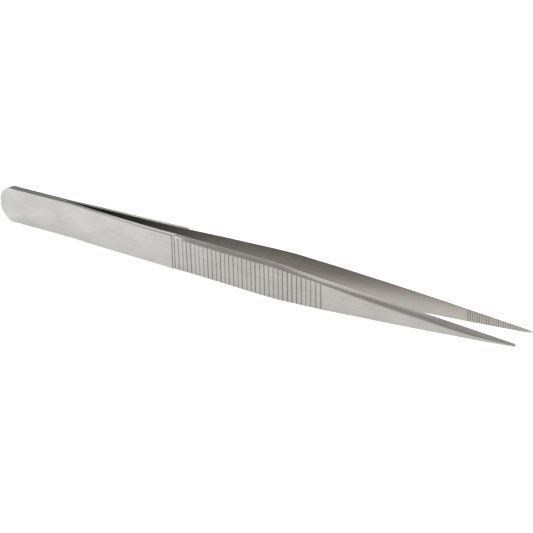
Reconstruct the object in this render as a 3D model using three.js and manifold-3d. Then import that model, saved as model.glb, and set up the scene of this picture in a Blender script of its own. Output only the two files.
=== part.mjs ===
// Straight precision tweezers: two mirrored steel arms, welded together over the tail.
//
// Millimetres. The tweezers lie on the long edges of their arms. X runs along them with the tips
// at +X, Y is the direction in which they open and close, and Z is the width of the arms.
// The origin is on the surface that they lie on, halfway along them and between the arms.
//
// Each arm is one strip in reality. A rigid model can't bend, so each strip is cut through at the
// middle of its springy stretch: the root stays with the tail, and the blade turns there.

import * as THREE from 'three';
import { mergeVertices } from 'three/addons/utils/BufferGeometryUtils.js';
import Module from 'manifold-3d';

const wasm = await Module();
wasm.setup();

// Lengths along the tweezers, measured from the end of the tail.
const length = 161.3;
const weldLength = 25;
const flexAt = 37;
const flexSlot = 0.3;

// The width of an arm: a round tail end, a handle with nearly parallel edges, and a jaw that
// tapers to a small rounded tip. Knots are [distance from the tail's end, value], and the curves
// between them are smooth.
const tailHalfWidth = 5.11;
const tailEndFlat = 0.9;
const handleHalfWidth = smoothCurve([[22, tailHalfWidth], [58, 4.73], [78, 4.86], [length, 4.86]]);
const jawHalfWidth = smoothCurve([
  [90, 5.42], [106, 4.26], [121, 3.22], [136, 2.22], [151, 1.16], [158, 0.60], [length, 0.34],
]);
const tipRound = { length: 0.8, end: 0.45 };
const jawTurn = 0.16;

// The section of an arm: a flat inner face, a straight bevel beside it on both edges, a rounded
// shoulder, and a flat outer face.
const weldHalfThickness = 0.2;
const innerFace = smoothCurve([
  [weldLength, weldHalfThickness], [37, 0.95], [51, 1.60], [66, 2.15], [81, 2.90], [96, 3.53],
  [111, 3.90], [126, 4.04], [141, 3.95], [length, 3.84],
]);
const thickness = smoothCurve([
  [weldLength, 0.92], [46, 1.10], [61, 1.28], [81, 1.16], [96, 1.22], [111, 1.36], [131, 1.46],
  [151, 1.28], [length, 0.60],
]);
// How deep the bevel goes into the thickness, and how steeply it slopes: it is square to the
// faces in the handle and turns outward where the grip begins.
const bevelDepth = smoothCurve([
  [weldLength, 0.80], [61, 0.72], [81, 0.33], [96, 0.48], [113, 0.94], [124, 0.72], [136, 0.60],
  [151, 0.45], [length, 0.20],
]);
const bevelSlope = smoothCurve([
  [64.5, 0], [67, 0.72], [92, 0.72], [112, 0.40], [138, 0.40], [150, 0.65], [length, 0.65],
]);
// The width that the bevel and the shoulder take from the outer face at each edge.
const edgeWidth = smoothCurve([
  [weldLength, 0.12], [61, 0.44], [81, 1.22], [96, 1.09], [111, 1.00], [123, 1.50], [136, 1.72],
  [151, 1.10], [length, 0.40],
]);
// The lower edges are broken less than the upper ones, by this share.
const lowerEdgeShare = 0.4;

// Grooves across the outer face for the fingers. The first one stands alone as a stop line.
const gripGrooves = {
  start: 66.0, count: 34, pitch: 1.388, width: 0.46, depth: 0.24, stopLineAhead: 0.85,
};
// Teeth across the inner face of the jaw.
const jawTeeth = { count: 26, pitch: 0.58, width: 0.4, depth: 0.14, endToTip: 1.2 };

const steel = { color: 0xc4c1bc, roughness: 0.34, metalness: 1 };

// A curve through the knots that never swings past them: a cubic from each knot to the next one,
// with the slope at a knot taken from the slopes on both sides of it.
function smoothCurve(knots) {
  const last = knots.length - 1;
  const steepness = (i) => (knots[i + 1][1] - knots[i][1]) / (knots[i + 1][0] - knots[i][0]);
  const slopeAt = (i) => {
    if (i === 0) return 0;
    if (i === last) return steepness(last - 1);
    const before = steepness(i - 1);
    const after = steepness(i);
    return before * after > 0 ? (2 * before * after) / (before + after) : 0;
  };
  return (x) => {
    if (x <= knots[0][0]) return knots[0][1];
    let i = 0;
    while (i < last - 1 && x > knots[i + 1][0]) i += 1;
    const span = knots[i + 1][0] - knots[i][0];
    const t = (x - knots[i][0]) / span;
    const rise = t * t * (3 - 2 * t);
    return knots[i][1] * (1 - rise) + knots[i + 1][1] * rise
      + span * t * (1 - t) * (slopeAt(i) * (1 - t) - slopeAt(i + 1) * t);
  };
}

// Half the width of an arm. The tail ends in a half circle. After it comes the lower of the
// handle's line and the jaw's line, with a smooth turn where they cross, and a rounded tip.
function halfWidth(x) {
  if (x < tailHalfWidth) {
    return Math.max(tailEndFlat, Math.sqrt(tailHalfWidth ** 2 - (tailHalfWidth - x) ** 2));
  }
  const handle = handleHalfWidth(x);
  const jaw = jawHalfWidth(x);
  return (handle + jaw) / 2 - Math.hypot((jaw - handle) / 2, jawTurn);
}

// How much the section shrinks in the last stretch, as a share of its size.
function tipShare(x) {
  const over = Math.max(0, x - (length - tipRound.length)) / tipRound.length;
  return Math.max(tipRound.end, Math.sqrt(Math.max(0, 1 - over ** 2)));
}

// Distances along the round of the tail's end, closer together where it curves more.
function tailPlaces() {
  const places = [0];
  const steps = 9;
  for (let i = 2; i <= steps; i += 1) {
    places.push(tailHalfWidth * (1 - Math.cos((i / steps) * (Math.PI / 2))));
  }
  return places;
}

// Distances along the arm, from one to another, at which its section is set.
function sectionPlaces(from, to) {
  const places = tailPlaces();
  const spacing = 4;
  for (let x = 2 * spacing; x < length - spacing / 2; x += spacing) places.push(x);
  places.push(length - tipRound.length, length - tipRound.length / 3);
  const apart = 0.2;
  const inside = places.filter((x) => x > from + apart && x < to - apart);
  return [from, ...inside, to];
}

// Where the straight bevel ends and the outer flat begins in the unit section.
const unit = { bevelDepth: 0.4, bevelAcross: 0.9, flatAcross: 0.4 };

// The section of an arm in unit sizes: x from 0 at the inner face to 1 at the outer face, y from
// -1 to 1 across the width. Each shoulder is the outer part of a quarter ellipse, which leaves
// the bevel in the bevel's own direction.
function unitSection() {
  const turned = Math.atan(bevelSlope(length));
  const radiusIn = (1 - unit.bevelDepth) / (1 - Math.sin(turned));
  const radiusAcross = (unit.bevelAcross - unit.flatAcross) / Math.cos(turned);
  const start = Math.PI / 2 - turned;
  const shape = new THREE.Shape();
  shape.moveTo(0, -1);
  shape.lineTo(unit.bevelDepth, -unit.bevelAcross);
  shape.absellipse(1 - radiusIn, -unit.flatAcross, radiusIn, radiusAcross, -start, 0, false);
  shape.lineTo(1, unit.flatAcross);
  shape.absellipse(1 - radiusIn, unit.flatAcross, radiusIn, radiusAcross, 0, start, false);
  shape.lineTo(0, 1);
  shape.closePath();
  return shape;
}

// A value worked out along straight lines between [unit, value] corners.
function alongCorners(at, corners) {
  let i = 1;
  while (i < corners.length - 1 && at > corners[i][0]) i += 1;
  const [from, low] = corners[i - 1];
  const [to, high] = corners[i];
  return low + ((at - from) / (to - from)) * (high - low);
}

// The near arm (at -Y) between two distances from the tail's end.
function armBar(from, to) {
  const places = sectionPlaces(from, to);
  const steps = places.length - 1;
  const geometry = new THREE.ExtrudeGeometry(unitSection(), {
    depth: steps, steps, bevelEnabled: false, curveSegments: 2,
  });
  const position = geometry.attributes.position;
  for (let i = 0; i < position.count; i += 1) {
    const x = places[Math.round(position.getZ(i))];
    const half = halfWidth(x);
    const inward = alongCorners(position.getX(i), [
      [0, 0], [unit.bevelDepth, bevelDepth(x)], [1, thickness(x)],
    ]);
    const edgeShare = position.getY(i) > 0 ? lowerEdgeShare : 1;
    const across = alongCorners(Math.abs(position.getY(i)), [
      [0, 0], [unit.flatAcross, half - edgeWidth(x) * edgeShare],
      [unit.bevelAcross, half - bevelSlope(x) * bevelDepth(x) * edgeShare], [1, half],
    ]);
    const middle = thickness(x) / 2;
    const share = tipShare(x);
    position.setXYZ(
      i, x - length / 2, -(innerFace(x) + middle + (inward - middle) * share),
      tailHalfWidth - Math.sign(position.getY(i)) * across * share,
    );
  }
  return geometry;
}

// A closed mesh as a solid that can be cut. A mirrored mesh is turned the right side out.
function solidFrom(geometry, mirrored = false) {
  const bare = geometry.clone();
  bare.deleteAttribute('normal');
  bare.deleteAttribute('uv');
  const merged = mergeVertices(bare);
  const triangles = Uint32Array.from(merged.index.array);
  if (mirrored) {
    for (let i = 0; i < triangles.length; i += 3) {
      [triangles[i], triangles[i + 1]] = [triangles[i + 1], triangles[i]];
    }
  }
  return new wasm.Manifold(new wasm.Mesh({
    numProp: 3,
    vertProperties: Float32Array.from(merged.attributes.position.array),
    triVerts: triangles,
  }));
}

function geometryFrom(solid) {
  const mesh = solid.getMesh();
  const geometry = new THREE.BufferGeometry();
  geometry.setAttribute('position', new THREE.BufferAttribute(mesh.vertProperties, 3));
  geometry.setIndex(new THREE.BufferAttribute(mesh.triVerts, 1));
  geometry.computeVertexNormals();
  return geometry;
}

// A V-shaped cutter for one groove across an arm. Its edge lies `depth` under the face, which is
// at y = surface, and the V is `width` wide where it meets the face. Side 1 cuts towards +Y.
function grooveCutter(x, surface, side, groove) {
  const above = 1;
  const spread = (groove.width / 2) * ((groove.depth + above) / groove.depth);
  const shape = new THREE.Shape();
  shape.moveTo(x - length / 2, surface + side * groove.depth);
  shape.lineTo(x - length / 2 - spread, surface - side * above);
  shape.lineTo(x - length / 2 + spread, surface - side * above);
  shape.closePath();
  const past = 1;
  const cutter = new THREE.ExtrudeGeometry(shape, {
    depth: 2 * (tailHalfWidth + past), bevelEnabled: false,
  });
  cutter.translate(0, 0, -past);
  return solidFrom(cutter);
}

function gripCutters() {
  const { start, count, pitch, stopLineAhead } = gripGrooves;
  const places = [start - stopLineAhead];
  for (let i = 0; i < count; i += 1) places.push(start + i * pitch);
  return places.map((x) => grooveCutter(x, -(innerFace(x) + thickness(x)), 1, gripGrooves));
}

function toothCutters() {
  const cutters = [];
  for (let i = 0; i < jawTeeth.count; i += 1) {
    const x = length - jawTeeth.endToTip - i * jawTeeth.pitch;
    cutters.push(grooveCutter(x, -innerFace(x), -1, jawTeeth));
  }
  return cutters;
}

function armRoot() {
  return armBar(0, flexAt - flexSlot / 2);
}

function armBlade() {
  let blade = solidFrom(armBar(flexAt + flexSlot / 2, length));
  for (const cutter of [...gripCutters(), ...toothCutters()]) blade = blade.subtract(cutter);
  return geometryFrom(blade);
}

// The weld fills the space between the two roots over the tail, ground flush with their edges.
function tailWeld() {
  const places = [...tailPlaces(), weldLength];
  const shape = new THREE.Shape([
    ...places.map((x) => new THREE.Vector2(x, -halfWidth(x))),
    ...places.reverse().map((x) => new THREE.Vector2(x, halfWidth(x))),
  ]);
  const geometry = new THREE.ExtrudeGeometry(shape, {
    depth: 2 * weldHalfThickness, bevelEnabled: false,
  });
  geometry.rotateX(Math.PI / 2);
  geometry.translate(-length / 2, weldHalfThickness, tailHalfWidth);
  return geometry;
}

// The far arm is the near arm seen in a mirror between them.
function mirrorAcrossGap(geometry) {
  return geometryFrom(solidFrom(geometry.clone().scale(1, -1, 1), true));
}

function steelMesh(name, geometry) {
  const mesh = new THREE.Mesh(geometry, new THREE.MeshStandardMaterial(steel));
  mesh.name = name;
  return mesh;
}

function tweezers() {
  const group = new THREE.Group();
  const root = armRoot();
  const blade = armBlade();
  group.add(
    steelMesh('near_arm_root', root),
    steelMesh('near_arm_blade', blade),
    steelMesh('far_arm_root', mirrorAcrossGap(root)),
    steelMesh('far_arm_blade', mirrorAcrossGap(blade)),
    steelMesh('tail_weld', tailWeld()),
  );
  return group;
}

export default tweezers();
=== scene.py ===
"""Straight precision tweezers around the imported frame: the fine surface of both arms, the weld
between them, the ground steel finish, and a plain studio.

The arms are laid over the CAD's own solids. Lengths along an arm are in millimetres from the end
of the tail, as in the part's source, and turn into the frame's metres when a mesh is made.
"""

import math
import random

import bpy
from mathutils import Matrix, Vector

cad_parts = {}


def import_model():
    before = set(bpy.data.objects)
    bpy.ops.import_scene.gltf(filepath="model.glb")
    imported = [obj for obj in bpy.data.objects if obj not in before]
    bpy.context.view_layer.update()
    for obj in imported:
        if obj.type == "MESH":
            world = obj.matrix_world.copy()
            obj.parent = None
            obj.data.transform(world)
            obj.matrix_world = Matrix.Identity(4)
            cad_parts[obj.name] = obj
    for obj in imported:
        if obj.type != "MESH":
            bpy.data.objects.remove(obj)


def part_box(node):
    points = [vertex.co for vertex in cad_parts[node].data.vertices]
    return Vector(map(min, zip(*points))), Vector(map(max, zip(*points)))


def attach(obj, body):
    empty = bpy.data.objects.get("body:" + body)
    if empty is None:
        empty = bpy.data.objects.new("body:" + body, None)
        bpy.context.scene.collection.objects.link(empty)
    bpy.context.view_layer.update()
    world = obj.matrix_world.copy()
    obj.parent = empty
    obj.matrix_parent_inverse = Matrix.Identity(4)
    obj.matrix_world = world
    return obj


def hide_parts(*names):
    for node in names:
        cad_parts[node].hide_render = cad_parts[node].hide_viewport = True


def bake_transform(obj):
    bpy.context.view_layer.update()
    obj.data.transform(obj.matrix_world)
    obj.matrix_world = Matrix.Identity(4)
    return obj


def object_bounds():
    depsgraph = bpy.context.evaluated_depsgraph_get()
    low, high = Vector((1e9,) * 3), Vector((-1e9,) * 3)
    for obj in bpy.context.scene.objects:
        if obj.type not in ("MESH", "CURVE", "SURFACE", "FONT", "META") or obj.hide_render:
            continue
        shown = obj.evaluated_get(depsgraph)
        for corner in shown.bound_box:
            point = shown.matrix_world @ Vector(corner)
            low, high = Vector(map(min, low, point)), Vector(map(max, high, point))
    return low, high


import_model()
cad_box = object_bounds()

MM = 0.001

# ---------------------------------------------------------------------------------------------
# Driving dimensions. The frame gives the ends, the middle height, the tail's width and the weld.

tail_end, tip_end = cad_box[0].x, cad_box[1].x
length = (tip_end - tail_end) / MM
middle_height = (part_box("near_arm_root")[0].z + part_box("near_arm_root")[1].z) / 2
tail_half_width = (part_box("near_arm_root")[1].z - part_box("near_arm_root")[0].z) / 2 / MM
weld_length = (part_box("tail_weld")[1].x - tail_end) / MM
weld_half_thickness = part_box("tail_weld")[1].y / MM


def smooth_curve(knots):
    """A curve through (distance, value) knots that never swings past them."""
    last = len(knots) - 1

    def steepness(i):
        return (knots[i + 1][1] - knots[i][1]) / (knots[i + 1][0] - knots[i][0])

    def slope_at(i):
        if i == 0:
            return 0
        if i == last:
            return steepness(last - 1)
        before, after = steepness(i - 1), steepness(i)
        return 2 * before * after / (before + after) if before * after > 0 else 0

    slopes = [slope_at(i) for i in range(last + 1)]

    def value(x):
        if x <= knots[0][0]:
            return knots[0][1]
        i = 0
        while i < last - 1 and x > knots[i + 1][0]:
            i += 1
        span = knots[i + 1][0] - knots[i][0]
        t = (x - knots[i][0]) / span
        rise = t * t * (3 - 2 * t)
        swing = span * t * (1 - t) * (slopes[i] * (1 - t) - slopes[i + 1] * t)
        return knots[i][1] * (1 - rise) + knots[i + 1][1] * rise + swing

    return value


# The width: a half circle at the tail, a nearly parallel handle and a jaw that tapers.
tail_end_flat = 0.5
handle_half_width = smooth_curve([
    (22, tail_half_width), (58, 4.73), (78, 4.86), (length, 4.86),
])
jaw_half_width = smooth_curve([
    (90, 5.42), (106, 4.26), (121, 3.22), (136, 2.22), (151, 1.16), (158, 0.60), (length, 0.34),
])
jaw_turn = 0.16
tip_round = {"length": 0.8, "end": 0.35}

# The section: a flat inner face, a bevel beside it, a rounded shoulder and a flat outer face.
inner_face = smooth_curve([
    (weld_length, weld_half_thickness), (37, 0.95), (51, 1.60), (66, 2.15), (81, 2.90),
    (96, 3.53), (111, 3.90), (126, 4.04), (141, 3.95), (length, 3.84),
])
thickness = smooth_curve([
    (weld_length, 0.92), (46, 1.10), (61, 1.28), (81, 1.16), (96, 1.22), (111, 1.36),
    (131, 1.46), (151, 1.28), (length, 0.60),
])
bevel_depth = smooth_curve([
    (weld_length, 0.80), (61, 0.72), (81, 0.33), (96, 0.48), (113, 0.94), (124, 0.72),
    (136, 0.60), (151, 0.45), (length, 0.20),
])
bevel_slope = smooth_curve([
    (65.3, 0), (66.2, 0.72), (92, 0.72), (112, 0.40), (138, 0.40), (150, 0.65), (length, 0.65),
])
edge_width = smooth_curve([
    (weld_length, 0.12), (61, 0.44), (81, 1.22), (96, 1.09), (111, 1.00), (123, 1.50),
    (136, 1.72), (151, 1.10), (length, 0.40),
])
# The lower edges are broken less than the upper ones, by this share.
lower_edge_share = 0.4
# The corner beside the inner face is broken by a small round.
inner_round = smooth_curve([(weld_length, 0.04), (40, 0.09), (110, 0.09), (length, 0.05)])
tail_rim = {"width": 0.34, "depth": 0.20}
# On a thin tip, the corner and the bevel take at most, and the flat face at least, these shares.
most_corner = {"of_width": 0.4, "of_depth": 0.3}
most_bevel = 0.9
least_flat = 0.08

# The weld: how far it lies inside the arms' outline and goes into the arms, and the fillet at its
# mouth, which is hollow by a share of its length.
weld_recess = 0.02
weld_bite = 0.02
weld_fillet = 0.5
weld_hollow = 0.6
weld_across = 24

# Grooves across the outer face for the fingers, and teeth across the inner face of the jaw.
grip = {"start": 66.0, "count": 34, "pitch": 1.388, "width": 0.50, "depth": 0.22}
stop_line_ahead = 0.85
teeth = {"count": 26, "pitch": 0.58, "width": 0.44, "depth": 0.13}
teeth_end = 1.2
# Where the grooves may lean: not at all outside the first pair, fully inside the second.
lean_outside = (60, 113)
lean_inside = (64, 110)

# How finely an arm is divided: steps around the inner corner and the shoulder, over the tail's rim,
# its round end and the tip's, and, in millimetres, between the rings elsewhere and at the least.
corner_steps = 4
shoulder_steps = 9
rim_steps = 6
tail_steps = 30
tip_steps = 6
ring_step = 1
least_step = 0.02


def half_width(x):
    if x < tail_half_width:
        round_end = math.sqrt(tail_half_width ** 2 - (tail_half_width - x) ** 2)
        return max(tail_end_flat, round_end)
    handle = handle_half_width(x)
    jaw = jaw_half_width(x)
    return (handle + jaw) / 2 - math.hypot((jaw - handle) / 2, jaw_turn)


# ---------------------------------------------------------------------------------------------
# Mesh making


class Cuts:
    """A row of V-shaped cuts across an arm, no two quite alike, as a rolled pattern leaves."""

    reach = 1.3  # a rounded lip ends this far out, in half widths of a cut

    def __init__(self, places, width, depth, seed, spread):
        draw = random.Random(seed)
        shallowest = 1 - 3 * spread
        self.full_depth = depth
        self.cuts = [
            (
                x + draw.uniform(-spread, spread) * width,
                width * draw.uniform(1 - spread, 1 + spread),
                depth * draw.uniform(shallowest, 1 + spread),
            )
            for x in places
        ]

    def share(self, x):
        """How far the cuts go in at x, as a share of a cut's depth."""
        return self.depth(x) / self.full_depth

    def depth(self, x):
        """How far the cuts go in at x. The bottom of each V is a little rounded."""
        deepest = 0
        for centre, width, depth in self.cuts:
            away = abs(x - centre) / (width / 2)
            if away < self.reach:
                deepest = max(deepest, depth * self.profile(away))
        return deepest

    @staticmethod
    def profile(away):
        """A cut's depth as a share, away from its middle by that many half widths."""
        bottom, lip = 0.14, 0.12
        straight = 1 - math.hypot(away, bottom) + bottom / 2
        return (straight + math.hypot(straight, lip)) / 2

    def places(self):
        """Where an arm needs a ring of points to hold the shape of the cuts."""
        shares = (-1.25, -0.95, -0.6, -0.3, -0.12, 0, 0.12, 0.3, 0.6, 0.95, 1.25)
        return [centre + share * width / 2 for centre, width, _ in self.cuts for share in shares]


def grip_cuts(seed):
    places = [grip["start"] + i * grip["pitch"] for i in range(grip["count"])]
    places.insert(0, grip["start"] - stop_line_ahead)
    return Cuts(places, grip["width"], grip["depth"], seed, spread=0.11)


def jaw_cuts(seed):
    places = [length - teeth_end - i * teeth["pitch"] for i in range(teeth["count"])]
    return Cuts(places, teeth["width"], teeth["depth"], seed, spread=0.08)


def crowded(size, steps):
    """Distances from 0 to size that lie closest together near 0, as a round end needs."""
    return [size * (1 - math.cos(i / steps * math.pi / 2)) for i in range(steps + 1)]


def ring_places(*cuts):
    """Distances along an arm at which it gets a ring of points."""
    rim = crowded(tail_rim["width"], rim_steps)
    tail = crowded(tail_half_width, tail_steps)
    body = [tail_half_width + i for i in range(ring_step, int(length - tail_half_width), ring_step)]
    tip = [length - away for away in crowded(tip_round["length"], tip_steps)[1:]]
    places = sorted(rim + tail + body + tip + [x for row in cuts for x in row.places()])
    kept = [places[0]]
    for x in places[1:]:
        if x - kept[-1] >= least_step and x < length - least_step:
            kept.append(x)
    return kept + [length]


def tail_rim_drop(x):
    """The outer face drops away in a quarter of an ellipse to the tail's end."""
    inside = max(0, 1 - x / tail_rim["width"])
    return tail_rim["depth"] * (1 - math.sqrt(1 - inside ** 2))


def half_section(x, edge_share):
    """(depth from the inner face, height over the middle) from the middle of the inner face,
    over one edge, to the middle of the outer face."""
    half, deep, slope = half_width(x), thickness(x), bevel_slope(x) * edge_share
    inner = inner_face_and_corner(x, half, deep, slope)
    corner_depth, corner_height = inner[-1]
    bevel_end = min(bevel_depth(x), most_bevel * deep)
    bevel_height = half - slope * bevel_end
    bevel = [
        (
            corner_depth + (bevel_end - corner_depth) * share,
            corner_height + (bevel_height - corner_height) * share,
        )
        for share in (0.33, 0.67, 1)
    ]
    flat = max(half - edge_width(x) * edge_share, least_flat * half)
    outer = [(deep, flat * share) for share in (0.9, 0.75, 0.55, 0.35, 0.17, 0)]
    return inner + bevel + shoulder(bevel[-1], (deep, flat), slope) + outer


def inner_face_and_corner(x, half, deep, slope):
    """The flat inner face and its rounded corner, up to where the bevel takes over."""
    corner = min(inner_round(x), most_corner["of_width"] * half, most_corner["of_depth"] * deep)
    corner_height = half - slope * corner - corner * math.hypot(1, slope)
    points = [(0, corner_height * share) for share in (0, 0.25, 0.5, 0.7, 0.85, 0.95)]
    for i in range(corner_steps + 1):
        turn = i / corner_steps * (math.pi / 2 + math.atan(slope))
        points.append((corner * (1 - math.cos(turn)), corner_height + corner * math.sin(turn)))
    return points


def shoulder(start, end, slope):
    """A curve that leaves in the bevel's direction and arrives along the outer face."""
    reach = end[0] - start[0]
    turn_height = max(start[1] - slope * reach, end[1])
    points = []
    for i in range(1, shoulder_steps + 1):
        t = i / shoulder_steps
        points.append((
            start[0] + reach * (2 * t * (1 - t) + t * t),
            (1 - t) ** 2 * start[1] + 2 * t * (1 - t) * turn_height + t * t * end[1],
        ))
    return points


def ring(x, grooves, notches):
    """One closed ring of (depth, height) points around the arm."""
    cap = thickness(x) - grooves.depth(x) - tail_rim_drop(x)
    floor = notches.depth(x)
    upper = half_section(x, 1)
    lower = [(depth, -height) for depth, height in half_section(x, lower_edge_share)[-2:0:-1]]
    return [(min(max(depth, floor), cap), height) for depth, height in upper + lower]


def tip_shrink(x):
    """The last stretch of the tip rounds off."""
    over = max(0, x - (length - tip_round["length"])) / tip_round["length"]
    return max(tip_round["end"], math.sqrt(max(0, 1 - over ** 2)))


def arm_mesh(name, side, seed):
    """One arm, from the end of the tail to the tip. side is -1 for the near arm, 1 for the far."""
    grooves, notches = grip_cuts(seed), jaw_cuts(seed + 1)
    lean = leaning(seed + 2)
    places = ring_places(grooves, notches)
    vertices, cut_shares, outward = [], [], []
    for x in places:
        shrink = tip_shrink(x)
        middle_depth = thickness(x) / 2
        for depth, height in ring(x, grooves, notches):
            outer = depth > middle_depth
            outward.append(depth / thickness(x))
            cut_shares.append(cut_share(x, depth, grooves if outer else notches, outer))
            depth = middle_depth + (depth - middle_depth) * shrink
            height *= shrink
            vertices.append((
                tail_end + (x + lean(x) * height) * MM,
                side * (inner_face(x) + depth) * MM,
                middle_height + height * MM,
            ))
    ring_size = len(vertices) // len(places)
    last_ring = len(vertices) - ring_size
    faces = skin(len(places), ring_size, turned=side > 0)
    faces += end_cap(vertices, 0, ring_size, turned=side < 0)
    faces += end_cap(vertices, last_ring, ring_size, turned=side > 0)
    end_middles = len(vertices) - len(outward)
    halfway_out = 0.5
    obj = solid_object(name, vertices, faces)
    point_values(obj, "cut", cut_shares + [0] * end_middles)
    point_values(obj, "outward", outward + [halfway_out] * end_middles)
    return obj


def skin(rings, ring_size, turned):
    """Four-sided faces between neighbouring rings."""
    faces = []
    for here in range(0, (rings - 1) * ring_size, ring_size):
        there = here + ring_size
        for j in range(ring_size):
            k = (j + 1) % ring_size
            quad = [here + j, here + k, there + k, there + j]
            faces.append(quad[::-1] if turned else quad)
    return faces


def end_cap(vertices, start, ring_size, turned):
    """A fan of faces that closes an end ring. Its middle point is added to the vertices."""
    own = vertices[start:start + ring_size]
    middle = len(vertices)
    vertices.append(tuple(sum(v[axis] for v in own) / ring_size for axis in range(3)))
    faces = []
    for j in range(ring_size):
        fan = [start + j, start + (j + 1) % ring_size, middle]
        faces.append(fan[::-1] if turned else fan)
    return faces


def point_values(obj, name, values):
    obj.data.attributes.new(name, "FLOAT", "POINT").data.foreach_set("value", values)


def cut_share(x, depth, cuts, outer):
    """How deep in a cut a point lies: 0 on the face, 1 at the bottom of a cut."""
    touching = 1e-6
    face = thickness(x) if outer else 0
    on_cut = abs(abs(depth - face) - cuts.depth(x)) < touching
    return cuts.share(x) if on_cut else 0


def leaning(seed):
    """How far a groove leans along the arm for each millimetre of height: a slow wander."""
    draw = random.Random(seed)
    wave_size = 0.004
    waves = [(draw.uniform(2, 9), draw.uniform(0, math.tau)) for _ in range(4)]

    def lean(x):
        wander = sum(wave_size * math.sin(x / wave + phase) for wave, phase in waves)
        after_start = (x - lean_outside[0]) / (lean_inside[0] - lean_outside[0])
        before_end = (lean_outside[1] - x) / (lean_outside[1] - lean_inside[1])
        return wander * min(1, max(0, after_start)) * min(1, max(0, before_end))

    return lean


def solid_object(name, vertices, faces):
    sharpest_smooth_edge = math.radians(38)
    mesh = bpy.data.meshes.new(name)
    mesh.from_pydata(vertices, [], faces)
    mesh.validate()
    mesh.shade_smooth()
    mesh.set_sharp_from_angle(angle=sharpest_smooth_edge)
    obj = bpy.data.objects.new(name, mesh)
    bpy.context.scene.collection.objects.link(obj)
    return obj


def weld_mesh(name):
    """The weld metal between the tails, ground flush, with a hollow fillet at its mouth."""
    places = [x for x in ring_places() if x < weld_length] + [weld_length + weld_fillet]
    vertices = [point for x in places for point in weld_ring(x)]
    row_size = weld_across + 1
    ring_size = 2 * row_size
    faces = []
    for here in range(0, (len(places) - 1) * ring_size, ring_size):
        there = here + ring_size
        for i in range(weld_across):
            faces.append([here + i, there + i, there + i + 1, here + i + 1])
            a, b = here + row_size + i, there + row_size + i
            faces.append([a, a + 1, b + 1, b])
        for i, turned in ((0, False), (weld_across, True)):
            a, b = here + i, there + i
            side = [a, a + row_size, b + row_size, b]
            faces.append(side[::-1] if turned else side)
    for start, turned in ((0, False), ((len(places) - 1) * ring_size, True)):
        for i in range(weld_across):
            end = [start + i, start + i + 1, start + row_size + i + 1, start + row_size + i]
            faces.append(end[::-1] if turned else end)
    return solid_object(name, vertices, faces)


def weld_ring(x):
    """Two rows of points across the weld, a hair inside the near arm and inside the far arm."""
    half = half_width(x) - weld_recess
    at_mouth = x > weld_length
    thick = (inner_face(x) if at_mouth else weld_half_thickness) + weld_bite
    points = []
    for row in (-1, 1):
        for i in range(weld_across + 1):
            height = half * math.sin((i / weld_across - 0.5) * math.pi)
            hollow = weld_fillet * math.cos(height / half * math.pi / 2) if at_mouth else 0
            points.append((
                tail_end + (max(x, weld_recess) - weld_hollow * hollow) * MM,
                row * thick * MM,
                middle_height + height * MM,
            ))
    return points


# ---------------------------------------------------------------------------------------------
# Materials


class Nodes:
    """A short way to write a material's node tree."""

    def __init__(self, name):
        self.material = bpy.data.materials.new(name)
        self.material.use_nodes = True
        self.tree = self.material.node_tree
        self.shader = self.tree.nodes["Principled BSDF"]
        self.place = self.add("ShaderNodeTexCoord").outputs["Object"]

    def add(self, kind, **settings):
        node = self.tree.nodes.new(kind)
        for name, value in settings.items():
            setattr(node, name, value)
        return node

    def link(self, output, target):
        self.tree.links.new(output, target)

    def noise(self, scale, stretch=(1, 1, 1), detail=3, roughness=0.55):
        """Noise over the object's own coordinates; stretch is how often it repeats on each axis."""
        mapping = self.add("ShaderNodeMapping")
        mapping.inputs["Scale"].default_value = stretch
        self.link(self.place, mapping.inputs["Vector"])
        node = self.add("ShaderNodeTexNoise")
        node.inputs["Scale"].default_value = scale
        node.inputs["Detail"].default_value = detail
        node.inputs["Roughness"].default_value = roughness
        self.link(mapping.outputs["Vector"], node.inputs["Vector"])
        return node.outputs["Fac"]

    def ranged(self, source, low, high, start=0.3, end=0.7):
        """low where the source is up to start and high from end. Noise lies mostly in 0.3 to 0.7."""
        node = self.add("ShaderNodeMapRange")
        node.inputs["From Min"].default_value = start
        node.inputs["From Max"].default_value = end
        node.inputs["To Min"].default_value = low
        node.inputs["To Max"].default_value = high
        self.link(source, node.inputs["Value"])
        return node.outputs["Result"]

    def along_arm(self, low, high, start, end):
        """low up to start and high from end, both in millimetres from the tail's end."""
        split = self.add("ShaderNodeSeparateXYZ")
        self.link(self.place, split.inputs["Vector"])
        return self.ranged(
            split.outputs["X"], low, high, tail_end + start * MM, tail_end + end * MM
        )

    def attribute(self, name):
        """A value that the arm's own points carry."""
        return self.add("ShaderNodeAttribute", attribute_name=name).outputs["Fac"]

    def math(self, operation, first, second):
        node = self.add("ShaderNodeMath", operation=operation)
        for socket, value in zip(node.inputs, (first, second)):
            if isinstance(value, (int, float)):
                socket.default_value = value
            else:
                self.link(value, socket)
        return node.outputs["Value"]

    def mix(self, share, first, second, blend="MIX"):
        """A mix of two colours. Of the node's sockets named A, B and Result, these are the colours'."""
        first_colour, second_colour, result_colour = 6, 7, 2
        node = self.add("ShaderNodeMix", data_type="RGBA", blend_type=blend)
        self.link(share, node.inputs["Factor"])
        for place, value in ((first_colour, first), (second_colour, second)):
            socket = node.inputs[place]
            if isinstance(value, tuple):
                socket.default_value = (*value, 1)
            else:
                self.link(value, socket)
        return node.outputs[result_colour]

    def bump(self, height, strength, distance):
        node = self.add("ShaderNodeBump")
        node.inputs["Strength"].default_value = strength
        node.inputs["Distance"].default_value = distance
        self.link(height, node.inputs["Height"])
        self.link(node.outputs["Normal"], self.shader.inputs["Normal"])


# How often each pattern repeats in a metre, along an arm, across it and up.
grain_pattern = (500, 9000, 9000)
streak_pattern = (60, 1500, 1500)
brushing_pattern = (110, 3200, 3200)
weld_grain_pattern = (700, 7000, 7000)
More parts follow.
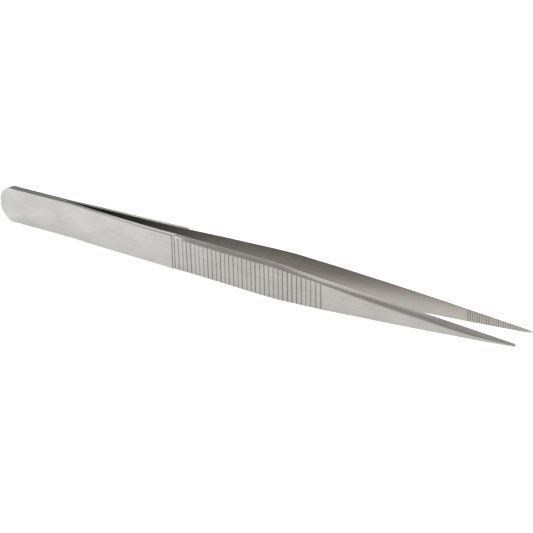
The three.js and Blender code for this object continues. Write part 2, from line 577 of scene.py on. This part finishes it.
# The colour that the metal tends to in a scratch.
scratch_dark = (0.25, 0.24, 0.23)


def satin_steel():
    """Stainless steel ground along the arms: fine scratches, soft clouds and rougher cuts, with painted
    shade in the cuts, on the narrow edges by the tail and along the faces.
    """
    nodes = Nodes("satin_steel")
    grain = nodes.noise(1, grain_pattern, detail=4, roughness=0.7)
    streaks = nodes.noise(1, streak_pattern)
    clouds = nodes.noise(230, (0.5, 1, 1))
    cut = nodes.attribute("cut")

    scratches = scratch_share(nodes, streaks)
    is_outer = nodes.ranged(nodes.attribute("outward"), 0, 1, start=0.02, end=0.1)
    faces = nodes.mix(is_outer, inner_steel(nodes, scratches), outer_steel(nodes, clouds, scratches))
    # Painted shade: the narrow edges by the tail turn dark, standing in for their dark reflection.
    edged = nodes.mix(tail_edge_shade(nodes), faces, (0.10, 0.10, 0.095))
    # Painted shade: the colour darkens with depth in the grip's grooves and the jaw's teeth.
    tint = nodes.mix(nodes.ranged(cut, 0, 0.6, start=0.1, end=0.8), edged, (0.14, 0.135, 0.13))
    nodes.link(tint, nodes.shader.inputs["Base Color"])

    nodes.shader.inputs["Metallic"].default_value = 1
    rough = nodes.math("ADD", nodes.ranged(streaks, 0.30, 0.36), nodes.ranged(clouds, -0.02, 0.02))
    rough = nodes.math("ADD", rough, nodes.ranged(cut, 0, 0.12, start=0, end=1))
    nodes.link(rough, nodes.shader.inputs["Roughness"])
    nodes.bump(nodes.math("ADD", grain, streaks), strength=0.34, distance=0.00002)
    return nodes.material


def scratch_share(nodes, streaks):
    """1 on clean metal and less in the scratches, which are coarse streaks and finer brushing."""
    brushing = nodes.noise(1, brushing_pattern)
    return nodes.math(
        "MULTIPLY", nodes.ranged(streaks, 0.88, 1.0), nodes.ranged(brushing, 0.82, 1.0)
    )


def outer_steel(nodes, clouds, scratches):
    """The outer faces: cloudy, with painted shade that makes them a little darker towards and past the
    grip.
    """
    pale = nodes.mix(nodes.ranged(clouds, 0, 1), (0.49, 0.475, 0.455), (0.57, 0.56, 0.545))
    scratched = nodes.mix(scratches, scratch_dark, pale)
    # Painted shade: the outer faces darken towards and past the grip.
    towards_grip = nodes.along_arm(0, 1, start=50, end=90)
    return nodes.mix(towards_grip, scratched, (0.84, 0.83, 0.815), "MULTIPLY")


def inner_steel(nodes, scratches):
    """The inner faces: painted light makes them paler where the arms part, and painted shade makes them
    darker and browner towards the jaws.
    """
    # Painted light where the arms part, and painted shade towards the jaws.
    parted = nodes.along_arm(0, 1, start=50, end=66)
    at_jaw = nodes.along_arm(0, 1, start=74, end=110)
    pale = nodes.mix(parted, (0.49, 0.475, 0.455), (0.64, 0.62, 0.595))
    jaw_shaded = nodes.mix(at_jaw, pale, (0.45, 0.425, 0.39))
    return nodes.mix(scratches, scratch_dark, jaw_shaded)


def tail_edge_shade(nodes):
    """Painted shade on the narrow edges, standing in for their dark reflection: nearly 1 over the
    weld, fading out past it, and 0 on the broad faces."""
    normal = nodes.add("ShaderNodeSeparateXYZ")
    nodes.link(nodes.add("ShaderNodeNewGeometry").outputs["Normal"], normal.inputs["Vector"])
    upright = nodes.math("ABSOLUTE", normal.outputs["Z"], 0)
    edge = nodes.ranged(upright, 0, 0.95, start=0.55, end=0.9)
    near_tail = nodes.along_arm(1, 0, start=weld_length - 2, end=weld_length + 26)
    return nodes.math("MULTIPLY", edge, near_tail)


def weld_steel():
    """The ground weld: duller and darker than the arms, with a faint straw tint."""
    nodes = Nodes("weld_steel")
    clouds = nodes.noise(900, detail=4)
    grain = nodes.noise(1, weld_grain_pattern)
    nodes.link(
        nodes.mix(nodes.ranged(clouds, 0, 1), (0.17, 0.165, 0.15), (0.26, 0.25, 0.22)),
        nodes.shader.inputs["Base Color"],
    )
    nodes.shader.inputs["Metallic"].default_value = 1
    nodes.link(nodes.ranged(grain, 0.40, 0.52), nodes.shader.inputs["Roughness"])
    nodes.bump(nodes.math("ADD", clouds, grain), strength=0.3, distance=0.00003)
    return nodes.material


def floor_white():
    """A pale floor that gives off light of its own, so that shadows on it stay faint."""
    glow = 0.70
    nodes = Nodes("floor_white")
    fine = nodes.noise(60, detail=2)
    nodes.link(
        nodes.mix(nodes.ranged(fine, 0, 1), (0.80, 0.80, 0.80), (0.82, 0.82, 0.82)),
        nodes.shader.inputs["Base Color"],
    )
    nodes.shader.inputs["Roughness"].default_value = 0.9
    nodes.shader.inputs["Specular IOR Level"].default_value = 0
    nodes.shader.inputs["Emission Color"].default_value = (1, 1, 1, 1)
    nodes.shader.inputs["Emission Strength"].default_value = glow
    return nodes.material


# ---------------------------------------------------------------------------------------------
# Studio


def floor():
    """A round floor, a hair under the tweezers so that the two surfaces don't coincide."""
    radius, sides, gap = 3.0, 64, 0.00002
    vertices = [
        (radius * math.cos(i / sides * math.tau), radius * math.sin(i / sides * math.tau), 0)
        for i in range(sides)
    ]
    obj = solid_object("floor", vertices, [list(range(sides))])
    obj.location.z = cad_box[0].z - gap
    obj.data.materials.append(floor_white())


def world():
    grey, warmth = 0.54, 0.985
    scene_world = bpy.data.worlds.new("studio")
    scene_world.use_nodes = True
    background = scene_world.node_tree.nodes["Background"]
    background.inputs["Color"].default_value = (grey, grey, grey * warmth, 1)
    bpy.context.scene.world = scene_world


def softbox(name, turn, rise, distance, size, radiance):
    """A soft lamp that faces the tweezers. turn is the angle from +Y towards -X, and rise the angle
    over the floor, both in degrees."""
    middle = (cad_box[0] + cad_box[1]) / 2
    away = Vector((
        -math.sin(math.radians(turn)) * math.cos(math.radians(rise)),
        math.cos(math.radians(turn)) * math.cos(math.radians(rise)),
        math.sin(math.radians(rise)),
    ))
    data = bpy.data.lights.new(name, "AREA")
    data.shape = "RECTANGLE"
    data.size, data.size_y = size
    data.energy = radiance * math.pi * size[0] * size[1]
    lamp = bpy.data.objects.new(name, data)
    lamp.location = middle + away * distance
    lamp.rotation_euler = away.to_track_quat("Z", "Y").to_euler()
    bpy.context.scene.collection.objects.link(lamp)


def camera():
    """The view turns from +Y towards -X by turn and looks down by rise. focal_in_frames is the focal
    length over the picture's width."""
    turn, rise, roll = math.radians(36.14), math.radians(23.16), math.radians(-1.31)
    distance = 0.3122
    sensor = 36
    focal_in_frames = 2.384615
    ahead, above_middle = 0.01190, 0.00108
    target = Vector((ahead, 0, middle_height + above_middle))
    forward = Vector((
        -math.sin(turn) * math.cos(rise), math.cos(turn) * math.cos(rise), -math.sin(rise),
    ))
    level = forward.cross(Vector((0, 0, 1))).normalized()
    upright = level.cross(forward)
    right = level * math.cos(roll) + upright * math.sin(roll)
    above = upright * math.cos(roll) - level * math.sin(roll)
    data = bpy.data.cameras.new("camera")
    data.sensor_width = sensor
    data.lens = focal_in_frames * sensor
    data.clip_start, data.clip_end = 0.01, 20
    obj = bpy.data.objects.new("camera", data)
    placed = Matrix((right, above, -forward)).transposed().to_4x4()
    placed.translation = target - forward * distance
    obj.matrix_world = placed
    bpy.context.scene.collection.objects.link(obj)
    bpy.context.scene.camera = obj


# ---------------------------------------------------------------------------------------------
# Putting it together


def arm(name, side, body, seed, steel):
    """One arm, which takes the place of its body's root and blade from the CAD; these are hidden."""
    obj = arm_mesh(name, side, seed)
    obj.data.materials.append(steel)
    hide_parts(body + "_root", body + "_blade")
    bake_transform(obj)


def weld():
    obj = weld_mesh("weld_fill")
    obj.data.materials.append(weld_steel())
    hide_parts("tail_weld")
    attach(obj, "tail")


bpy.context.scene.view_settings.view_transform = "Standard"
camera()
world()
floor()
softbox("key", turn=47.5, rise=45.7, distance=0.7, size=(0.42, 0.42), radiance=1.5)
softbox("fill", turn=-100, rise=66, distance=0.8, size=(0.6, 0.6), radiance=0.9)
steel = satin_steel()
arm("arm_near", side=-1, body="near_arm", seed=11, steel=steel)
arm("arm_far", side=1, body="far_arm", seed=23, steel=steel)
weld()
